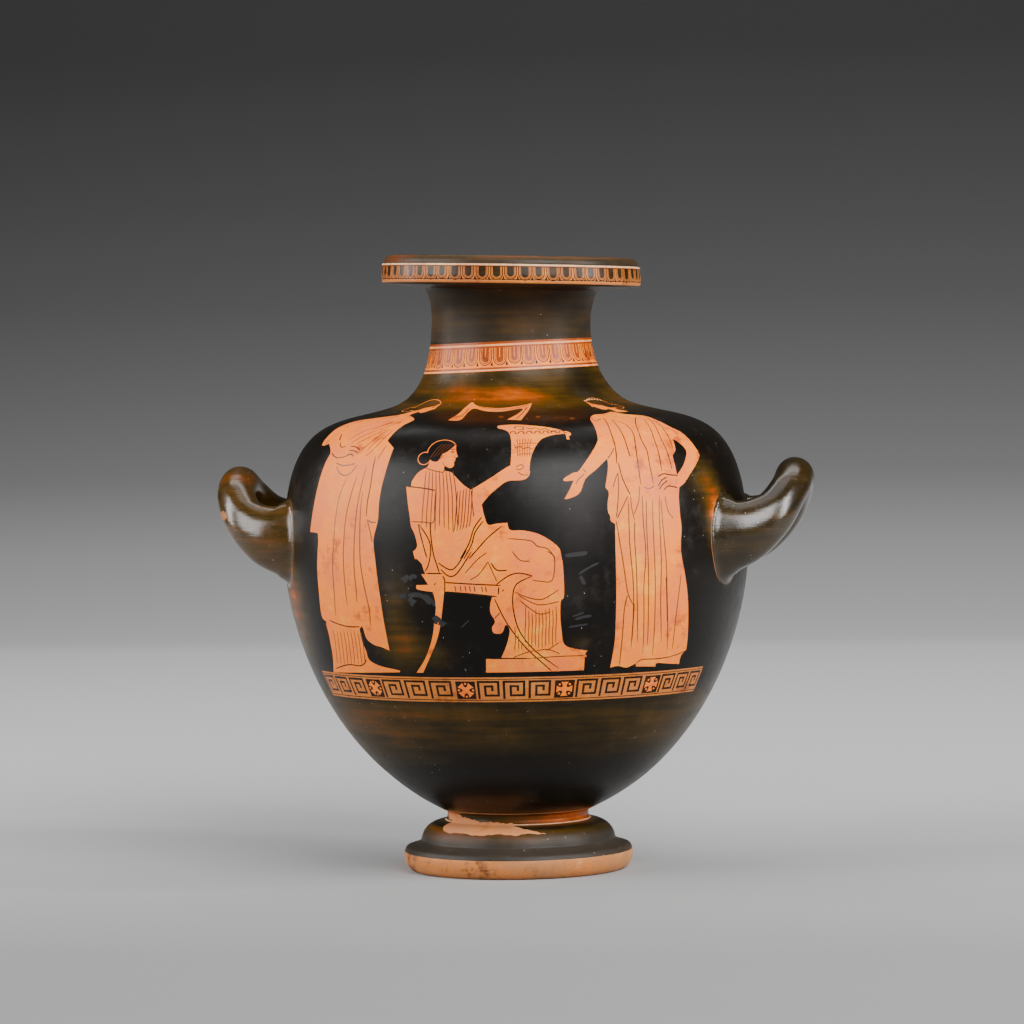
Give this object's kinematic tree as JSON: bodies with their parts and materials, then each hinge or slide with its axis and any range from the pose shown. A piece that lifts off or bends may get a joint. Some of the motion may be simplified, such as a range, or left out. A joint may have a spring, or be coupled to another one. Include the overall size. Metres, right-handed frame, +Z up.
{
  "type": "hydria",
  "caption": "Fired-clay water jar with a ring foot, full body, offset neck, broad flat lip, two side loops and an upright back handle.",
  "frame": {"origin": "middle of the foot's resting ring, on the ground", "axes": "+Z up along the jar's axis, side handles along X, painted front towards -Y, back handle at +Y"},
  "size_m": [0.3908, 0.3034, 0.4026],
  "materials": {
    "glossed_clay": "black gloss over orange clay"
  },
  "bodies": {
    "root": {"hydria": "glossed_clay"}
  },
  "joints": []
}
